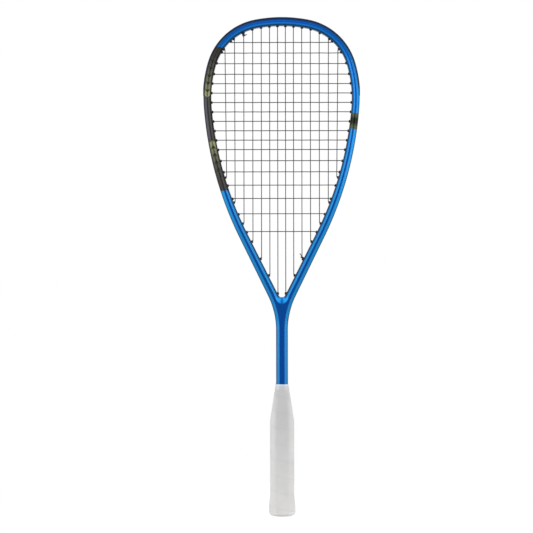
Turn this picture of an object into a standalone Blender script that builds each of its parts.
"""Squash racket, built upright: butt end on the ground plane, head up, playing faces towards -Y and +Y.

A hollow moulded frame carries a bumper guard, two grommet strips, six single grommets and a looped
throat grommet. One unbroken string is woven through them. Two foam pallets round the shaft, a butt
cap, a wound grip tape and a finishing tape make the handle. All lengths are in metres.
"""
import math

import bmesh
import bpy
import numpy as np
from mathutils import Vector

# ---- overall -------------------------------------------------------------------------------
RACKET_LENGTH = 0.686        # butt end to the outside of the bumper guard
BEAM_DEPTH = 0.019           # front face to back face of the frame
CLEARANCE = 0.0003           # left between touching pieces

# ---- outside of the frame, right half: radii, and the normal's angle where each arc ends -----
CROWN_RADIUS = 0.192
CROWN_END = 11.0
SHOULDER_RADIUS = 0.0831
SHOULDER_END = 73.8
CHEEK_RADIUS = 0.1725
CHEEK_END = 94.2
FLANK_RADIUS = 0.489
ARM_TILT = 26.1              # of the straight arms, from the vertical
THROAT_RADIUS = 0.106        # hollow curve from arm to shaft
SHAFT_WIDTH = 0.0162
CROTCH_RADIUS = 0.0052       # inside curve where the arms meet

# ---- section of the frame --------------------------------------------------------------------
HEAD_WALL_WIDTH = 0.0108     # outside to inside of the hoop, seen from the front
ARM_WALL_WIDTH = 0.0132      # the same at the foot of the arms
HEAD_BEVEL = 0.0040          # width of the slanting faces beside the flat front
ARM_BEVEL = 0.0052
SHAFT_BEVEL = 0.0033
BEVEL_DROP = 0.0024          # how deep those faces slant
EDGE_ROUND = 0.0013          # width of the rounded outer edge
EDGE_FALL = 0.0011           # depth over which the outer edge turns into the side
INNER_FALL = 0.0022          # the same on the inside of the hoop
SKIN = 0.0012                # laminate thickness
WEB = 0.0014                 # wall between the two channels of the shaft

STATION_COUNTS = (2, 8, 3, 5, 1, 2)  # sections drawn along each piece of the outline
CROTCH_STEP = 0.0022         # outer distance between the sections round the crotch
CROTCH_SECTIONS = 3
AXIS_LIFT = 0.0025           # how much higher a section below the crotch meets the centre line

# ---- string groove, guard and grommets ---------------------------------------------------------
GROOVE_DEPTH = 0.0032
GROOVE_WIDTH = 0.0088
GROOVE_SLOPE = 0.0005        # how much each side of the groove leans in towards its floor
GROOVE_RUN_OUT = 0.014       # length in which the groove ends, below the last grommet
STRIP_THICKNESS = 0.0008
BUMPER_DROP = 0.108          # top of the head to the guard's ends
BUMPER_STAND = 0.0008        # how far the guard stands out from the frame
BUMPER_WIDTH = 0.0118
BUMPER_EDGE = 0.0009         # width of the guard's slanting edges
CHANNEL_LIP = 0.0002         # the guard's string channel: its lip beside the groove's side
CHANNEL_SLOPE = 0.0005
BARREL_RADIUS = 0.00155
BORE_RADIUS = 0.00105
TIE_BARREL_RADIUS = 0.00235
TIE_BORE_RADIUS = 0.00180
BARREL_STAND = 0.0016        # how far a barrel reaches into the opening
FLANGE_LENGTH = 0.0075       # of a single grommet, along the groove
THROAT_LOOP_RADIUS = 0.009
THROAT_LOOP_DROP = 0.006     # loop centre below the crotch's centre
CUTTER_REACH = 0.002         # how far cutting shapes run past what they cut

# ---- string bed --------------------------------------------------------------------------------
STRING_DIAMETER = 0.00125
WEAVE = 0.00094              # string centre to the middle plane at a crossing
NEAR_MOUTH = 0.004           # closer than this to a cross's mouth the weave stands out more
NEAR_MOUTH_LIFT = 1.25
MAINS_PER_SIDE = 7
MAIN_HALF_GAP = 0.0054
MAIN_PITCH = 0.0110          # first pitch from the middle outwards
MAIN_PITCH_GROWTH = 0.00042  # added at each further main
MAIN_LEANS = {6: 0.0005, 7: 0.0019}  # how much further in the two outermost mains end at their foot
FIRST_CROSS_DROP = 0.0343    # top of the racket to the first cross
CROSS_TIERS = ((3, 0.01457), (8, 0.01296), (2, 0.01535), (2, 0.0183), (1, 0.0211), (1, 0.0245))
LEAST_HOLE_PITCH = 0.0041    # a main's hole moves along the hoop to keep this from a cross's hole
LANE = 0.00175               # sideways shift of a string that passes another one's hole
LANE_RUN_IN = 0.003          # length in which a string slants to its lane
LANE_POINT_PITCH = 0.016
TIE_SHIFT = 0.00088          # half the distance of two strings in one tie-off bore
KNOT_TURNS = 2
KNOT_RADIUS = 0.00188
KNOT_PITCH = 0.0019
KNOT_STAND = 0.0022          # from the bore's mouth to the first turn
TAIL_LENGTH = 0.0055

# ---- handle ------------------------------------------------------------------------------------
GRIP_WIDTH = 0.0333
GRIP_DEPTH = 0.0286
GRIP_FLAT = 0.0168           # width of the broad front facet
GRIP_SIDE_FLAT = 0.0124
BUTT_WIDTH = 0.0366
BUTT_DEPTH = 0.0316
BUTT_STRAIGHT = 0.012        # height of the widest part of the butt
FLARE_TOP = 0.032            # where the flare has run out
TAPER_START = 0.131
COLLAR_TOP = 0.1816
COLLAR_HEIGHT = 0.0085
COLLAR_THICKNESS = 0.00035
TAPE_THICKNESS = 0.0018
TAPE_PITCH = 0.022
TAPE_SEAM = 0.0006           # open seam between turns
TAPE_END_THICKNESS = 0.00035
TAPE_TUCK = 0.0025           # length of tape hidden under the finishing tape
TAPE_SINK_RUN = 0.002        # length in which the tape sinks under the finishing tape
TAPE_EDGE_SINK = 0.15        # how far the tape's upper edge is pressed down, as a part of its thickness
TAPE_LEAST_WIDTH = 0.001     # the strip's cut ends
PALLET_TOP = 0.147
PALLET_SPLIT = 0.0003
PALLET_STEP = 0.0001         # height of the step above the cap's skirt
CAP_RIM = 0.006              # height of the bare rim below the tape
CAP_FLOOR = 0.0025
CAP_ROUND = 0.0035
SKIRT_TOP = 0.030
SKIRT_THICKNESS = 0.0014
STAPLE_WIRE = 0.0009
STAPLE_SPAN = 0.009
STAPLE_LEG = 0.0045
STAPLE_HEIGHT = 0.019
CORNER_SOFTNESS = 0.0016     # how far each handle corner is cut back along its facets
COLLAR_SOFTNESS = 0.0003     # the same at the collar

HALF_DEPTH = BEAM_DEPTH / 2
STRING_RADIUS = STRING_DIAMETER / 2
FRAME_TOP = RACKET_LENGTH - BUMPER_STAND
SHAFT_END = CAP_FLOOR + CLEARANCE
CHANNEL_FLOOR = GROOVE_DEPTH - CLEARANCE - STRIP_THICKNESS
STRING_DEPTH = CHANNEL_FLOOR - 1.5 * CLEARANCE - STRING_RADIUS
HOLE_RADIUS = BARREL_RADIUS + CLEARANCE * 1.15
TIE_HOLE_RADIUS = TIE_BARREL_RADIUS + CLEARANCE * 1.15
MOUTH_REACH = BARREL_STAND + 1.5 * CLEARANCE


# ---- scene and materials -----------------------------------------------------------------------
def clear_scene():
    for item in list(bpy.data.objects):
        bpy.data.objects.remove(item, do_unlink=True)


def make_material(name, colour, roughness, metallic=0.0):
    material = bpy.data.materials.new(name)
    material.use_nodes = True
    shader = material.node_tree.nodes["Principled BSDF"]
    shader.inputs["Base Color"].default_value = (*colour, 1.0)
    shader.inputs["Roughness"].default_value = roughness
    shader.inputs["Metallic"].default_value = metallic
    material.diffuse_color = (*colour, 1.0)
    return material


def add_object(name, mesh, material, smooth_angle=30.0):
    thing = bpy.data.objects.new(name, mesh)
    bpy.context.collection.objects.link(thing)
    if material is None:
        thing.hide_render = True
        thing.display_type = "WIRE"
    else:
        mesh.materials.append(material)
    mesh.shade_smooth()
    mesh.set_sharp_from_angle(angle=math.radians(smooth_angle))
    return thing


def mesh_from_faces(name, vertices, faces):
    """Mesh with coincident points joined and its faces pointing out."""
    mesh = bpy.data.meshes.new(name)
    mesh.from_pydata([tuple(v) for v in vertices], [], faces)
    work = bmesh.new()
    work.from_mesh(mesh)
    bmesh.ops.remove_doubles(work, verts=work.verts, dist=1e-7)
    quads = [face for face in work.faces if len(face.verts) == 4]
    bmesh.ops.connect_verts_nonplanar(work, angle_limit=1e-5, faces=quads)
    bmesh.ops.recalc_face_normals(work, faces=work.faces)
    work.to_mesh(mesh)
    work.free()
    return mesh


def loft(rings):
    """Vertices and faces of a closed solid through rings of equal length, capped at both ends."""
    size = len(rings[0])
    vertices = [point for ring in rings for point in ring]
    faces = []
    for first in range(0, (len(rings) - 1) * size, size):
        for k in range(size):
            step = (k + 1) % size
            faces.append((first + k, first + step, first + size + step, first + size + k))
    faces.append(tuple(range(size)))
    faces.append(tuple(range(len(vertices) - size, len(vertices))))
    return vertices, faces


def join_solids(parts):
    """Several separate solids as one list of vertices and faces."""
    vertices = []
    faces = []
    for part_vertices, part_faces in parts:
        start = len(vertices)
        vertices.extend(part_vertices)
        faces.extend(tuple(start + k for k in face) for face in part_faces)
    return vertices, faces


def cut(thing, cutter, operation="DIFFERENCE"):
    modifier = thing.modifiers.new(cutter.name, "BOOLEAN")
    modifier.operation = operation
    modifier.solver = "EXACT"
    modifier.object = cutter


# ---- outline of the head -------------------------------------------------------------------------
def arc_piece(centre, radius, start, end):
    """Arc by the angle of its outward normal; a negative radius has the centre outside."""
    first = math.radians(start)
    length = abs(radius * math.radians(end - start))

    def at(distance):
        angle = first + distance / radius
        normal = Vector((math.sin(angle), 0, math.cos(angle)))
        return centre + normal * radius, normal

    return length, at


def line_piece(start, end, normal):
    direction = (end - start).normalized()

    def at(distance):
        return start + direction * distance, normal

    return (end - start).length, at


def outline_pieces():
    """Outside of the right half, from the top of the head to the end of the shaft."""
    pieces = []
    centre = Vector((0, 0, FRAME_TOP - CROWN_RADIUS))
    radius = CROWN_RADIUS
    start = 0.0
    arm_normal = 90 + ARM_TILT
    spans = (
        (CROWN_RADIUS, CROWN_END),
        (SHOULDER_RADIUS, SHOULDER_END),
        (CHEEK_RADIUS, CHEEK_END),
        (FLANK_RADIUS, arm_normal),
    )
    for next_radius, end in spans:
        angle = math.radians(start)
        centre = centre + Vector((math.sin(angle), 0, math.cos(angle))) * (radius - next_radius)
        radius = next_radius
        pieces.append(arc_piece(centre, radius, start, end))
        start = end
    flank_length, flank = pieces[-1]
    arm_start, normal = flank(flank_length)
    along = Vector((-normal.z, 0, normal.x)) * -1
    fillet_x = SHAFT_WIDTH / 2 + THROAT_RADIUS
    arm_length = (fillet_x - normal.x * THROAT_RADIUS - arm_start.x) / along.x
    arm_end = arm_start + along * arm_length
    pieces.append(line_piece(arm_start, arm_end, normal))
    throat_centre = arm_end + normal * THROAT_RADIUS
    pieces.append(arc_piece(throat_centre, -THROAT_RADIUS, arm_normal, 90))
    shaft_top = Vector((SHAFT_WIDTH / 2, 0, throat_centre.z))
    shaft_foot = Vector((SHAFT_WIDTH / 2, 0, SHAFT_END))
    pieces.append(line_piece(shaft_top, shaft_foot, Vector((1, 0, 0))))
    return pieces


PIECES = outline_pieces()
STARTS = [sum(length for length, _ in PIECES[:k]) for k in range(len(PIECES) + 1)]
CHEEK_S, FLANK_S, ARM_S, THROAT_S, SHAFT_S, END_S = STARTS[2:]


def outline_at(s):
    """Point and outward normal at a distance from the top; a negative distance is on the left."""
    distance = min(abs(s), END_S)
    k = 0
    while k < len(PIECES) - 1 and distance > STARTS[k + 1]:
        k += 1
    point, normal = PIECES[k][1](distance - STARTS[k])
    if s < 0:
        return Vector((-point.x, 0, point.z)), Vector((-normal.x, 0, normal.z))
    return point, normal


def section_point(s, inward, y):
    """Point at a depth below the frame's outside and a distance from the middle plane."""
    point, normal = outline_at(s)
    return point - normal * inward + Vector((0, y, 0))


def share(value, start, end):
    """0 at the start, 1 at the end, held outside."""
    return min(1.0, max(0.0, (value - start) / (end - start)))


def wall_width(s):
    return HEAD_WALL_WIDTH + (ARM_WALL_WIDTH - HEAD_WALL_WIDTH) * share(abs(s), FLANK_S, THROAT_S)


def bevel_width(s):
    head_to_arm = HEAD_BEVEL + (ARM_BEVEL - HEAD_BEVEL) * share(abs(s), FLANK_S, ARM_S)
    return head_to_arm + (SHAFT_BEVEL - ARM_BEVEL) * share(abs(s), THROAT_S, SHAFT_S)


def inner_point(s, depth=0.0):
    """Point on the inside of the hoop, moved into the laminate by a depth."""
    return section_point(s, wall_width(s) - depth, 0)


def solve(function, low, high):
    """Where a function changes sign between two distances."""
    sign = function(low) > 0
    for _ in range(60):
        middle = (low + high) / 2
        if (function(middle) > 0) == sign:
            low = middle
        else:
            high = middle
    return (low + high) / 2


CROTCH_S = solve(lambda s: inner_point(s).x - CROTCH_RADIUS * outline_at(s)[1].x, ARM_S, SHAFT_S)
CROTCH_CENTRE = inner_point(CROTCH_S) - outline_at(CROTCH_S)[1] * CROTCH_RADIUS
CROTCH_CENTRE.x = 0.0


# ---- string holes ----------------------------------------------------------------------------------
def mouth_point(s):
    """Where a string turns, just past the tip of a barrel."""
    return section_point(s, wall_width(s) + MOUTH_REACH, 0)


def main_x(rank):
    steps = rank - 1
    return MAIN_HALF_GAP + MAIN_PITCH * steps + MAIN_PITCH_GROWTH * steps * (steps - 1) / 2


def foot_x(rank):
    return main_x(rank) - MAIN_LEANS.get(rank, 0.0)


def cross_heights():
    heights = [RACKET_LENGTH - FIRST_CROSS_DROP]
    for count, pitch in CROSS_TIERS:
        for _ in range(count):
            heights.append(heights[-1] - pitch)
    return heights


RANKS = range(1, MAINS_PER_SIDE + 1)
CROSS_Z = cross_heights()
TURN_S = solve(lambda s: outline_at(s)[1].z, STARTS[1], ARM_S)
CROSS_HOLES = [solve(lambda s: mouth_point(s).z - z, 0, THROAT_S) for z in CROSS_Z]


def main_hole(x, low, high):
    """Where a main's hole lies between two distances, kept clear of the nearest cross's hole."""
    s = solve(lambda s: mouth_point(s).x - x, low, high)
    nearest = min(CROSS_HOLES, key=lambda hole: abs(hole - s))
    if abs(s - nearest) < LEAST_HOLE_PITCH:
        s = nearest + math.copysign(LEAST_HOLE_PITCH, s - nearest)
    return s


TOP_HOLES = {rank: main_hole(main_x(rank), 0, TURN_S) for rank in RANKS}
FOOT_HOLES = {rank: main_hole(foot_x(rank), TURN_S, THROAT_S) for rank in RANKS if rank > 1}
TIE_TOP_RANK = MAINS_PER_SIDE - 2
TIE_FOOT_RANK = 3
BUMPER_S = solve(lambda s: outline_at(s)[0].z - (RACKET_LENGTH - BUMPER_DROP), 0, ARM_S)
STRIP_START = BUMPER_S + 3 * CLEARANCE
STRIP_END = CROSS_HOLES[-1] + FLANGE_LENGTH / 2
GROOVE_FULL = FOOT_HOLES[2] + FLANGE_LENGTH
GROOVE_END = GROOVE_FULL + GROOVE_RUN_OUT


def is_tie_hole(s):
    return s in (-TOP_HOLES[TIE_TOP_RANK], FOOT_HOLES[TIE_FOOT_RANK])


def prism(start, end, radius, sides=6):
    """Straight solid between two points, a corner towards +Y."""
    axis = (end - start).normalized()
    across = axis.cross(Vector((0, 1, 0))).normalized()
    other = axis.cross(across)
    ring = []
    for k in range(sides):
        angle = 2 * math.pi * k / sides
        ring.append(other * math.cos(angle) * radius + across * math.sin(angle) * radius)
    return loft([[start + offset for offset in ring], [end + offset for offset in ring]])


def hole_prism(s, from_depth, past_inside, radius, tie_radius):
    """Prism on a hole's axis, from a depth below the outside to a distance past the inside."""
    size = tie_radius if is_tie_hole(s) else radius
    start = section_point(s, from_depth, 0)
    end = section_point(s, wall_width(s) + past_inside, 0)
    return prism(start, end, size)


def swept_tube(points, radius, sides=6):
    """Closed tube along points of the middle plane."""
    rings = []
    for k, point in enumerate(points):
        before = points[max(k - 1, 0)]
        after = points[min(k + 1, len(points) - 1)]
        axis = (after - before).normalized()
        across = axis.cross(Vector((0, 1, 0)))
        ring = []
        for n in range(sides):
            angle = 2 * math.pi * n / sides
            ring.append(point + (Vector((0, 1, 0)) * math.cos(angle) + across * math.sin(angle)) * radius)
        rings.append(ring)
    return loft(rings)


# ---- loop through the throat --------------------------------------------------------------------------
def throat_loop(reach, steps=4):
    """Half loop from the bottom middle to its right mouth, cut short by a reach (negative runs on)."""
    centre = CROTCH_CENTRE - Vector((0, 0, THROAT_LOOP_DROP))
    mouth = Vector((MAIN_HALF_GAP, 0, CROTCH_CENTRE.z + CROTCH_RADIUS / 2))
    offset = mouth - centre
    tangent = math.atan2(offset.z, offset.x) - math.acos(THROAT_LOOP_RADIUS / offset.length)
    points = []
    for k in range(steps + 1):
        angle = -math.pi / 2 + (tangent + math.pi / 2) * k / steps
        points.append(centre + Vector((math.cos(angle), 0, math.sin(angle))) * THROAT_LOOP_RADIUS)
    leg = (mouth - points[-1]).normalized()
    points.append(mouth - leg * reach)
    return points


def whole_loop(reach):
    half = throat_loop(reach)
    left = [Vector((-point.x, 0, point.z)) for point in reversed(half[1:])]
    return left + half


# ---- frame ------------------------------------------------------------------------------------------
def groove_share(s):
    return 1.0 - share(abs(s), GROOVE_FULL, GROOVE_END)


def outer_profile(s):
    """Depth below the outside and y, front edge to back edge, of the section's outer side."""
    bevel = bevel_width(s)
    groove = GROOVE_DEPTH * groove_share(s)
    front = [
        (bevel, -HALF_DEPTH),
        (EDGE_ROUND, -HALF_DEPTH + BEVEL_DROP),
        (CLEARANCE, -HALF_DEPTH + BEVEL_DROP + EDGE_FALL),
        (0.0, -GROOVE_WIDTH / 2),
        (groove, -GROOVE_WIDTH / 2 + GROOVE_SLOPE),
    ]
    return front + [(depth, -y) for depth, y in reversed(front)]


def inner_profile(s):
    """Depth below the inside and y, back edge to front edge, of the section's inner side."""
    back = [
        (bevel_width(s), HALF_DEPTH),
        (EDGE_ROUND, HALF_DEPTH - BEVEL_DROP),
        (0.0, HALF_DEPTH - BEVEL_DROP - INNER_FALL),
    ]
    return back + [(depth, -y) for depth, y in reversed(back)]


def station_list():
    """Distances from the top where the section is drawn; arcs get more than straight runs."""
    stations = []
    for k, count in enumerate(STATION_COUNTS):
        start = STARTS[k]
        stations.extend(start + (STARTS[k + 1] - start) * n / count for n in range(count))
    stations.extend((GROOVE_FULL, GROOVE_END))
    return sorted(s for s in stations if s < CROTCH_S - CLEARANCE) + [CROTCH_S]


def stations_between(start, end):
    """Both ends and the frame's own stations between them, so that a strip bends where it does."""
    both_sides = [side * s for s in station_list() for side in (-1, 1)]
    inside = sorted({s for s in both_sides if start + CLEARANCE < s < end - CLEARANCE})
    return [start] + inside + [end]


def crotch_stations(steps=CROTCH_SECTIONS):
    """Outer distance, inner point and direction of the opening, round the crotch's curve."""
    normal = outline_at(CROTCH_S)[1]
    first = math.atan2(normal.z, normal.x)
    rows = []
    for k in range(1, steps + 1):
        angle = first + (-math.pi / 2 - first) * k / steps
        outward = Vector((math.cos(angle), 0, math.sin(angle)))
        if k == steps:
            outward = Vector((0, 0, -1))
        rows.append((CROTCH_S + CROTCH_STEP * k, CROTCH_CENTRE + outward * CROTCH_RADIUS, outward))
    return rows


def below_crotch(count=5):
    """Outer distances from the crotch to the shaft's end."""
    start = CROTCH_S + CROTCH_STEP * CROTCH_SECTIONS
    stations = [start + (SHAFT_S - start) * k / count for k in range(1, count + 1)]
    return stations + [END_S]


def axis_height(s):
    """Height on the centre line that goes with an outer distance below the crotch."""
    lift = AXIS_LIFT * (1.0 - share(s, CROTCH_S, SHAFT_S))
    return outline_at(s)[0].z + lift


def frame_half():
    """Right half of the outer skin, open on the plane that the halves share."""
    rings = []
    for s in station_list():
        outer = [section_point(s, depth, y) for depth, y in outer_profile(s)]
        inner = [section_point(s, wall_width(s) - depth, y) for depth, y in inner_profile(s)]
        rings.append(outer + inner)
    for s, inside, outward in crotch_stations():
        outer = [section_point(s, depth, y) for depth, y in outer_profile(s)]
        inner = [inside + outward * depth + Vector((0, y, 0)) for depth, y in inner_profile(s)]
        rings.append(outer + inner)
    for s in below_crotch():
        outer = [section_point(s, depth, y) for depth, y in outer_profile(s)]
        height = axis_height(s)
        rings.append(outer + [Vector((0, HALF_DEPTH, height)), Vector((0, -HALF_DEPTH, height))])
    vertices = []
    faces = []
    starts = []
    for ring in rings:
        starts.append(len(vertices))
        vertices.extend(ring)
    outer_size = len(outer_profile(0))
    for k in range(len(rings) - 1):
        here, there = starts[k], starts[k + 1]
        size, next_size = len(rings[k]), len(rings[k + 1])
        for n in range(outer_size - 1):
            faces.append((here + n, here + n + 1, there + n + 1, there + n))
        last = outer_size - 1
        faces.append((here + last, here + last + 1, there + last + 1, there + last))
        faces.append((here + size - 1, here, there, there + next_size - 1))
        if size == next_size and size > outer_size + 2:
            for n in range(outer_size, size - 1):
                faces.append((here + n, here + n + 1, there + n + 1, there + n))
    faces.append(tuple(range(starts[-1], len(vertices))))
    return vertices, faces


def mirrored_mesh(name, vertices, faces):
    """Both halves of a shape that is open on the plane between them."""
    count = len(vertices)
    both = list(vertices) + [Vector((-v.x, v.y, v.z)) for v in vertices]
    flipped = [tuple(count + k for k in reversed(face)) for face in faces]
    return mesh_from_faces(name, both, list(faces) + flipped)


def shaft_channels():
    """The two hollows of the shaft, one on each side of the web, open at its end."""
    outside = SHAFT_WIDTH / 2
    outline = [
        (WEB / 2, HALF_DEPTH - SKIN),
        (outside - SHAFT_BEVEL, HALF_DEPTH - SKIN),
        (outside - SKIN, HALF_DEPTH - BEVEL_DROP - SKIN / 2),
    ]
    outline = outline + [(x, -y) for x, y in reversed(outline)]
    top = outline_at(SHAFT_S)[0].z
    solids = []
    for side in (-1, 1):
        solids.append(loft([[Vector((side * x, y, z)) for x, y in outline] for z in (SHAFT_END - SKIN, top)]))
    return mesh_from_faces("shaft_channels", *join_solids(solids))


def hole_cutter():
    solids = []
    for s in all_holes():
        solids.append(hole_prism(s, -CUTTER_REACH, CUTTER_REACH, HOLE_RADIUS, TIE_HOLE_RADIUS))
    return mesh_from_faces("hole_cutter", *join_solids(solids))


def all_holes():
    right = list(TOP_HOLES.values()) + list(FOOT_HOLES.values()) + CROSS_HOLES
    return [side * s for s in right for side in (1, -1)]


def build_frame(material):
    frame = add_object("frame", mirrored_mesh("frame", *frame_half()), material)
    cut(frame, add_object("shaft_channels", shaft_channels(), None))
    cut(frame, add_object("hole_cutter", hole_cutter(), None))
    loop = mesh_from_faces("loop_cutter", *swept_tube(whole_loop(-2 * CUTTER_REACH), HOLE_RADIUS))
    cut(frame, add_object("loop_cutter", loop, None))


# ---- guard, strips and grommets ------------------------------------------------------------------------
def guard_profile():
    floor_y = GROOVE_WIDTH / 2 - GROOVE_SLOPE - CLEARANCE
    half = [
        (GROOVE_DEPTH - CLEARANCE, floor_y),
        (-CLEARANCE, GROOVE_WIDTH / 2 - CLEARANCE),
        (-CLEARANCE / 2, BUMPER_WIDTH / 2),
        (-BUMPER_STAND, BUMPER_WIDTH / 2 - BUMPER_EDGE),
        (-BUMPER_STAND, floor_y - CHANNEL_LIP),
        (CHANNEL_FLOOR, floor_y - CHANNEL_LIP - CHANNEL_SLOPE),
    ]
    return half + [(depth, -y) for depth, y in reversed(half)]


def strip_profile():
    floor_y = GROOVE_WIDTH / 2 - GROOVE_SLOPE - CLEARANCE
    half = [(GROOVE_DEPTH - CLEARANCE, floor_y), (CHANNEL_FLOOR, floor_y)]
    return half + [(depth, -y) for depth, y in reversed(half)]


def add_barrels(thing, holes):
    """Adds a barrel at each hole to a guard, strip or flange, and bores it."""
    name = thing.name
    barrels = []
    bores = []
    for s in holes:
        middle = (CHANNEL_FLOOR + GROOVE_DEPTH - CLEARANCE) / 2
        barrels.append(hole_prism(s, middle, BARREL_STAND, BARREL_RADIUS, TIE_BARREL_RADIUS))
        bores.append(hole_prism(s, 0.0, BARREL_STAND + CUTTER_REACH, BORE_RADIUS, TIE_BORE_RADIUS))
    for ending, solids, operation in (("_barrels", barrels, "UNION"), ("_bores", bores, "DIFFERENCE")):
        mesh = mesh_from_faces(name + ending, *join_solids(solids))
        cut(thing, add_object(name + ending, mesh, None), operation)


def swept_strip(name, stations, profile, material):
    rings = [[section_point(s, depth, y) for depth, y in profile] for s in stations]
    return add_object(name, mesh_from_faces(name, *loft(rings)), material)


def build_guard(material):
    stations = stations_between(-BUMPER_S, BUMPER_S)
    guard = swept_strip("bumper_guard", stations, guard_profile(), material)
    holes = [s for s in all_holes() if abs(s) < BUMPER_S]
    add_barrels(guard, holes)


def build_strips(material):
    for side, word in ((-1, "left"), (1, "right")):
        stations = [side * s for s in stations_between(STRIP_START, STRIP_END)]
        strip = swept_strip("grommet_strip_" + word, stations, strip_profile(), material)
        holes = [s for s in all_holes() if STRIP_START < side * s < STRIP_END]
        add_barrels(strip, holes)


def build_single_grommets(material):
    for side, word in ((-1, "left"), (1, "right")):
        for rank in RANKS:
            if rank == 1 or FOOT_HOLES[rank] < STRIP_END:
                continue
            middle = FOOT_HOLES[rank]
            stations = [side * (middle - FLANGE_LENGTH / 2), side * (middle + FLANGE_LENGTH / 2)]
            name = f"throat_grommet_{word}_{rank}"
            grommet = swept_strip(name, stations, strip_profile(), material)
            add_barrels(grommet, [side * middle])


def build_throat_loop(material):
    outer = mesh_from_faces("throat_loop_grommet", *swept_tube(whole_loop(STRING_RADIUS), BARREL_RADIUS))
    grommet = add_object("throat_loop_grommet", outer, material)
    bore = mesh_from_faces("throat_loop_bore", *swept_tube(whole_loop(-1.5 * CUTTER_REACH), BORE_RADIUS))
    cut(grommet, add_object("throat_loop_bore", bore, None))


# ---- string ---------------------------------------------------------------------------------------------
def groove_run(start, end, lane):
    """String in the groove between two holes, shifted to a lane where it passes others."""
    if lane == 0:
        return []
    step = math.copysign(LANE_RUN_IN, end - start)
    first = start + step
    span = end - step - first
    count = max(1, round(abs(span) / LANE_POINT_PITCH))
    return [section_point(first + span * k / count, STRING_DEPTH, lane * LANE) for k in range(count + 1)]


def passage(s, shift=0.0):
    """Outer and mouth points of a string in its bore."""
    side = Vector((0, shift, 0))
    return [section_point(s, STRING_DEPTH, shift), mouth_point(s) + side]


def main_ends(rank):
    """A right main's two ends in the opening."""
    foot = mouth_point(FOOT_HOLES[rank]) if rank > 1 else Vector((MAIN_HALF_GAP, 0, CROTCH_CENTRE.z))
    return mouth_point(TOP_HOLES[rank]), foot


def crosses_main(rank, z):
    """Whether a cross at a height meets a main between the main's two ends."""
    top, foot = main_ends(rank)
    return foot.z + 2 * STRING_DIAMETER < z < top.z - 2 * STRING_DIAMETER


def leaning_x(rank, z):
    """Distance of a main from the middle at a height."""
    top, foot = main_ends(rank)
    return top.lerp(foot, share(z, top.z, foot.z)).x


def weave_height(side, rank, number):
    """y of a main where it meets a cross; the cross has the opposite y."""
    column = rank if side > 0 else 1 - rank
    sign = 1 if (column + number) % 2 == 0 else -1
    beside_mouth = mouth_point(CROSS_HOLES[number]).x - leaning_x(rank, CROSS_Z[number]) < NEAR_MOUTH
    return sign * WEAVE * (NEAR_MOUTH_LIFT if beside_mouth else 1.0)


def crossings_of_main(side, rank):
    """Crossing points on one main, top to bottom."""
    points = []
    for number, z in enumerate(CROSS_Z):
        if crosses_main(rank, z):
            points.append(Vector((side * leaning_x(rank, z), weave_height(side, rank, number), z)))
    return points


def crossings_of_cross(number):
    """Crossing points on one cross, right to left."""
    z = CROSS_Z[number]
    points = []
    for side in (1, -1):
        for rank in RANKS:
            if crosses_main(rank, z):
                points.append(Vector((side * leaning_x(rank, z), -weave_height(side, rank, number), z)))
    return sorted(points, key=lambda point: -point.x)


def knot(main_mouth, first_crossing, shift, tail):
    """Turns round a main beside its mouth, from the tie-off bore (shift 1 or -1 in Y) to the tail."""
    direction = 1 if first_crossing.z > main_mouth.z else -1
    start_z = main_mouth.z + direction * KNOT_STAND
    points = []
    per_turn = 8
    for k in range(KNOT_TURNS * per_turn + 1):
        z = start_z + direction * KNOT_PITCH * k / per_turn
        along = (z - main_mouth.z) / (first_crossing.z - main_mouth.z)
        centre = main_mouth.lerp(first_crossing, along)
        angle = 2 * math.pi * k / per_turn
        offset = Vector((math.sin(angle), shift * math.cos(angle), 0))
        points.append(Vector((centre.x, centre.y, z)) + offset * KNOT_RADIUS)
    points.append(points[-1] + tail.normalized() * TAIL_LENGTH)
    return points


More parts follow.
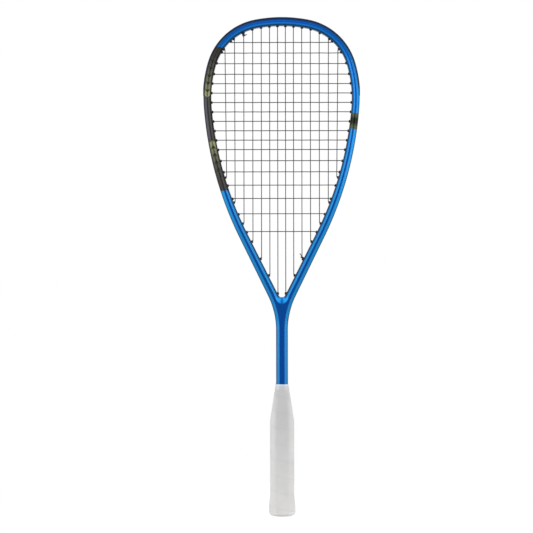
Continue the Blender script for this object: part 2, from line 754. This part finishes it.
def string_points():
    """The whole route: tail and knot at the top left, mains, throat loop, mains, crosses, knot, tail."""
    left_tie = -TOP_HOLES[TIE_TOP_RANK]
    own_top = mouth_point(left_tie) + Vector((0, -TIE_SHIFT, 0))
    first = crossings_of_main(-1, TIE_TOP_RANK)[0]
    route = knot(own_top, first, 1, Vector((1, 0.2, 0.25)))[::-1]
    route.extend(passage(left_tie, TIE_SHIFT)[::-1])
    route.extend(groove_run(left_tie, -TOP_HOLES[MAINS_PER_SIDE], 1))

    order = [(-1, rank) for rank in reversed(RANKS)] + [(1, rank) for rank in RANKS]
    for place, (side, rank) in enumerate(order):
        down = place % 2 == 0
        own_shift = -TIE_SHIFT if (side, rank) == (-1, TIE_TOP_RANK) else 0.0
        top = passage(side * TOP_HOLES[rank], own_shift)
        if rank == 1:
            foot = []
        else:
            tie_shift = TIE_SHIFT if (side, rank) == (1, TIE_FOOT_RANK) else 0.0
            foot = passage(side * FOOT_HOLES[rank], tie_shift)
        run = top + crossings_of_main(side, rank) + foot[::-1]
        route.extend(run if down else run[::-1])
        if place == len(order) - 1:
            continue
        next_side, next_rank = order[place + 1]
        if down and rank == 1:
            loop = whole_loop(0.0)
            route.extend(loop)
        elif down:
            start, end = side * FOOT_HOLES[rank], next_side * FOOT_HOLES[next_rank]
            route.extend(groove_run(start, end, lane_for(start, end, 1)))
        else:
            start, end = side * TOP_HOLES[rank], next_side * TOP_HOLES[next_rank]
            route.extend(groove_run(start, end, lane_for(start, end, 1)))

    for number in range(len(CROSS_Z)):
        leftward = number % 2 == 0
        hole = CROSS_HOLES[number]
        right = passage(hole)
        left = passage(-hole)
        run = right + crossings_of_cross(number) + left[::-1]
        route.extend(run if leftward else run[::-1])
        if number < len(CROSS_Z) - 1:
            side = -1 if leftward else 1
            start, end = side * hole, side * CROSS_HOLES[number + 1]
            route.extend(groove_run(start, end, lane_for(start, end, -1)))

    foot_tie = FOOT_HOLES[TIE_FOOT_RANK]
    own_foot = mouth_point(foot_tie) + Vector((0, TIE_SHIFT, 0))
    last = crossings_of_main(1, TIE_FOOT_RANK)[-1]
    route.extend(groove_run(CROSS_HOLES[-1], foot_tie, -1))
    route.extend(passage(foot_tie, -TIE_SHIFT))
    route.extend(knot(own_foot, last, -1, Vector((-0.6, -0.2, 0.8))))
    return route


def lane_for(start, end, lane):
    """A lane where another hole lies between two holes, or none."""
    low, high = sorted((start, end))
    passed = [s for s in all_holes() if low + 1e-6 < s < high - 1e-6]
    return lane if passed else 0


def least_self_gap(points):
    """Smallest open distance between stretches of the string that are not neighbours."""
    p = np.array([tuple(v) for v in points])
    start = p[:-1]
    step = p[1:] - p[:-1]
    length = np.linalg.norm(step, axis=1)
    travelled = np.concatenate(([0], np.cumsum(length)))
    samples = np.linspace(0, 1, 9)
    cloud = (start[:, None, :] + step[:, None, :] * samples[None, :, None]).reshape(-1, 3)
    place = (travelled[:-1, None] + length[:, None] * samples[None, :]).reshape(-1)
    least = 1.0
    for k in range(len(start)):
        offset = cloud - start[k]
        t = np.clip(offset @ step[k] / (length[k] ** 2), 0, 1)
        gap = np.linalg.norm(offset - t[:, None] * step[k], axis=1)
        apart = np.abs(place - (travelled[k] + t * length[k])) > 4 * STRING_DIAMETER
        least = min(least, float(gap[apart].min()))
    return least - STRING_DIAMETER, float(travelled[-1])


def build_string(material):
    points = string_points()
    gap, length = least_self_gap(points)
    print(f"string: {len(points)} points, {length:.3f} m, least gap to itself {gap * 1000:.2f} mm")
    curve = bpy.data.curves.new("string", "CURVE")
    curve.dimensions = "3D"
    curve.bevel_depth = STRING_RADIUS
    curve.bevel_resolution = 1
    curve.use_fill_caps = True
    spline = curve.splines.new("POLY")
    spline.points.add(len(points) - 1)
    for point, target in zip(points, spline.points):
        target.co = (*point, 1.0)
    thing = bpy.data.objects.new("string", curve)
    bpy.context.collection.objects.link(thing)
    curve.materials.append(material)


# ---- handle ---------------------------------------------------------------------------------------------
SHAFT_FLAT = SHAFT_WIDTH / 2 - SHAFT_BEVEL
SHAFT_SIDE = HALF_DEPTH - BEVEL_DROP
COLLAR_EDGE = SHAFT_WIDTH / 2 + CLEARANCE + COLLAR_THICKNESS
COLLAR_EDGE_DEPTH = HALF_DEPTH + CLEARANCE + COLLAR_THICKNESS


def ease(value):
    return value * value * (3 - 2 * value)


def grip_outside(z):
    """Half width, half depth, half front facet and half side facet of the finished grip."""
    flare = 1.0 - ease(share(z, BUTT_STRAIGHT, FLARE_TOP))
    taper = share(z, TAPER_START, COLLAR_TOP)
    width = GRIP_WIDTH / 2 + flare * (BUTT_WIDTH - GRIP_WIDTH) / 2
    depth = GRIP_DEPTH / 2 + flare * (BUTT_DEPTH - GRIP_DEPTH) / 2
    front = GRIP_FLAT / 2
    side = GRIP_SIDE_FLAT / 2
    width += taper * (COLLAR_EDGE - width)
    depth += taper * (COLLAR_EDGE_DEPTH - depth)
    front += taper * (SHAFT_FLAT - front)
    side += taper * (SHAFT_SIDE - side)
    return width, depth, front, side


def octagon(width, depth, front, side, soft):
    """Eight-sided section from +X through -Y: its corners, or two points for each softened corner."""
    corners = [(width, -side), (front, -depth), (-front, -depth), (-width, -side),
               (-width, side), (-front, depth), (front, depth), (width, side)]
    if soft == 0:
        return [Vector(corner) for corner in corners]
    points = []
    for k, corner in enumerate(corners):
        here = Vector(corner)
        before = Vector(corners[k - 1])
        after = Vector(corners[(k + 1) % 8])
        back = min(soft, (before - here).length * 0.35)
        ahead = min(soft, (after - here).length * 0.35)
        points.append(here + (before - here).normalized() * back)
        points.append(here + (after - here).normalized() * ahead)
    return points


def grip_ring(z, inset, height=None, sharp=False):
    """Section of the handle at a depth below the finished grip."""
    width, depth, front, side = grip_outside(z)
    cut_back = inset * math.tan(math.radians(22.5))
    taper = share(z, TAPER_START, COLLAR_TOP)
    soft = CORNER_SOFTNESS + (COLLAR_SOFTNESS - CORNER_SOFTNESS) * taper
    if sharp:
        soft = 0.0
    flat = octagon(width - inset, depth - inset, front - cut_back, side - cut_back, soft)
    level = z if height is None else height
    return [Vector((point.x, point.y, level)) for point in flat]


def tape_thickness(z):
    thin = share(z, PALLET_TOP, COLLAR_TOP - COLLAR_HEIGHT + TAPE_TUCK)
    return TAPE_THICKNESS + (TAPE_END_THICKNESS - TAPE_THICKNESS) * thin


def tape_inset(z):
    """The tape sinks a little where the finishing tape covers it."""
    cover = share(z, COLLAR_TOP - COLLAR_HEIGHT - TAPE_SINK_RUN, COLLAR_TOP - COLLAR_HEIGHT)
    return cover * (COLLAR_THICKNESS + CLEARANCE)


def build_grip_tape(material):
    """One strip wound from the cap's rim to the finishing tape, each turn beside the last."""
    low_end = CAP_RIM + CLEARANCE
    high_end = COLLAR_TOP - COLLAR_HEIGHT + TAPE_TUCK
    per_turn = 8
    rings = []
    bends = (COLLAR_TOP - COLLAR_HEIGHT, TAPER_START, BUTT_STRAIGHT, FLARE_TOP)
    total = int((high_end - low_end) / TAPE_PITCH * per_turn) + per_turn + 2
    for k in range(total):
        top = low_end + TAPE_PITCH * k / per_turn
        low = max(low_end, top - TAPE_PITCH + TAPE_SEAM)
        high = min(high_end, top)
        if high - low < TAPE_LEAST_WIDTH:
            continue
        column = k % per_turn
        inside = [z for z in bends if low + TAPE_LEAST_WIDTH < z < high - TAPE_LEAST_WIDTH]
        middle = inside[0] if inside else (low + high) / 2
        ring = []
        under = [(low, 1.0), (middle, 1.0), (high, 1.0)]
        face = [(high, TAPE_EDGE_SINK), (middle, 0.0), (low, 0.0)]
        for z, sink in under + face:
            inset = tape_inset(z) + sink * tape_thickness(z)
            ring.append(grip_ring(z, inset, sharp=True)[column])
        rings.append(ring)
    print(f"grip tape: {len(rings) / per_turn:.1f} turns, least gap to itself {TAPE_SEAM * 1000:.2f} mm")
    add_object("grip_tape", mesh_from_faces("grip_tape", *loft(rings)), material)


def build_finishing_tape(material):
    """Thin sleeve over the tape's end and the shaft."""
    low = COLLAR_TOP - COLLAR_HEIGHT
    middle = low + TAPE_TUCK + CLEARANCE
    rings = [grip_ring(low, 0.0), grip_ring(middle, 0.0), grip_ring(COLLAR_TOP, 0.0),
             grip_ring(COLLAR_TOP, COLLAR_THICKNESS), grip_ring(middle, COLLAR_THICKNESS),
             grip_ring(low, COLLAR_THICKNESS)]
    vertices, faces = loft(rings + [rings[0]])
    add_object("finishing_tape", mesh_from_faces("finishing_tape", vertices, faces[:-2]), material)


def pallet_ring(z, inset, side):
    """Half of the handle's section on one side of the split, with the shaft's channel."""
    outer = grip_ring(z, inset)
    half = [point for point in outer if point.y * side > PALLET_SPLIT]
    half.sort(key=lambda point: point.x)
    width = grip_outside(z)[0] - inset
    gap = CLEARANCE
    shaft = [(SHAFT_WIDTH / 2 + gap, PALLET_SPLIT / 2), (SHAFT_WIDTH / 2 + gap, SHAFT_SIDE),
             (SHAFT_FLAT, HALF_DEPTH + gap), (-SHAFT_FLAT, HALF_DEPTH + gap),
             (-SHAFT_WIDTH / 2 - gap, SHAFT_SIDE), (-SHAFT_WIDTH / 2 - gap, PALLET_SPLIT / 2)]
    ring = [Vector((-width, side * PALLET_SPLIT / 2, z))]
    ring.extend(half)
    ring.append(Vector((width, side * PALLET_SPLIT / 2, z)))
    ring.extend(Vector((x, side * y, z)) for x, y in shaft)
    return ring


def build_pallets(material):
    body = TAPE_THICKNESS + CLEARANCE
    seat = body + SKIRT_THICKNESS + CLEARANCE
    step = SKIRT_TOP + CLEARANCE
    for side, word in ((-1, "front"), (1, "back")):
        rings = [pallet_ring(SHAFT_END, seat, side), pallet_ring(BUTT_STRAIGHT, seat, side),
                 pallet_ring(step, seat, side), pallet_ring(step + PALLET_STEP, body, side),
                 pallet_ring(TAPER_START, body, side), pallet_ring(PALLET_TOP, body, side)]
        name = "handle_pallet_" + word
        pallet = add_object(name, mesh_from_faces(name, *loft(rings)), material)
        cut(pallet, add_object(name + "_staple_slots", staple_mesh(CLEARANCE), None))


def build_butt_cap(material):
    """Cup with a thick rim below the tape and a thin skirt under it, hollow above its floor."""
    under_tape = TAPE_THICKNESS + CLEARANCE
    inside = under_tape + SKIRT_THICKNESS
    outer = [grip_ring(0.0, CAP_ROUND), grip_ring(0.0, CAP_ROUND * 0.3, CAP_ROUND * 0.3),
             grip_ring(0.0, 0.0, CAP_ROUND), grip_ring(CAP_RIM, 0.0), grip_ring(CAP_RIM, under_tape)]
    skirt = [grip_ring(z, under_tape) for z in (BUTT_STRAIGHT, (BUTT_STRAIGHT + FLARE_TOP) / 2, SKIRT_TOP)]
    hollow = [grip_ring(z, inside) for z in (SKIRT_TOP, (BUTT_STRAIGHT + FLARE_TOP) / 2, BUTT_STRAIGHT)]
    floor = [grip_ring(0.0, inside, CAP_FLOOR)]
    name = "butt_cap"
    cap = add_object(name, mesh_from_faces(name, *loft(outer + skirt + hollow + floor)), material)
    cut(cap, add_object("cap_staple_slots", staple_mesh(CLEARANCE), None))


def staple_solid(side, grow):
    """Crown let into the skirt and two legs; grown by a clearance it is the cutter for the slots."""
    face = grip_outside(STAPLE_HEIGHT)[0] - TAPE_THICKNESS - 2 * CLEARANCE
    wire = STAPLE_WIRE / 2
    reach = STAPLE_WIRE + STAPLE_LEG
    span = STAPLE_SPAN / 2
    out = CUTTER_REACH if grow else 0.0
    profile = [(out, -span - grow), (out, span + grow), (-reach - grow, span + grow),
               (-reach - grow, span - 2 * wire - grow), (-2 * wire - grow, span - 2 * wire - grow),
               (-2 * wire - grow, -span + 2 * wire + grow), (-reach - grow, -span + 2 * wire + grow),
               (-reach - grow, -span - grow)]
    rings = []
    for level in (-wire - grow, wire + grow):
        rings.append([Vector((side * (face + x), y, STAPLE_HEIGHT + level)) for x, y in profile])
    return loft(rings)


def staple_mesh(grow):
    name = "staple_slots"
    return mesh_from_faces(name, *join_solids([staple_solid(side, grow) for side in (-1, 1)]))


def build_staples(material):
    for side, word in ((-1, "left"), (1, "right")):
        name = "cap_staple_" + word
        add_object(name, mesh_from_faces(name, *staple_solid(side, 0.0)), material)


# ---- the racket ---------------------------------------------------------------------------------------
def build_racket():
    clear_scene()
    paint = make_material("blue_lacquered_carbon", (0.004, 0.09, 0.40), 0.28, 0.35)
    nylon = make_material("black_nylon", (0.012, 0.012, 0.014), 0.45)
    guard = make_material("navy_nylon", (0.010, 0.020, 0.045), 0.42)
    gut = make_material("dark_grey_string", (0.060, 0.060, 0.065), 0.35)
    foam = make_material("moulded_foam", (0.35, 0.33, 0.30), 0.85)
    rubber = make_material("white_cap", (0.62, 0.61, 0.60), 0.55)
    grip = make_material("grey_white_grip", (0.55, 0.55, 0.55), 0.70)
    finish = make_material("white_finishing_tape", (0.75, 0.75, 0.75), 0.50)
    steel = make_material("staple_steel", (0.55, 0.55, 0.56), 0.35, 1.0)
    build_frame(paint)
    build_guard(guard)
    build_strips(nylon)
    build_single_grommets(nylon)
    build_throat_loop(nylon)
    build_string(gut)
    build_pallets(foam)
    build_butt_cap(rubber)
    build_staples(steel)
    build_grip_tape(grip)
    build_finishing_tape(finish)


build_racket()
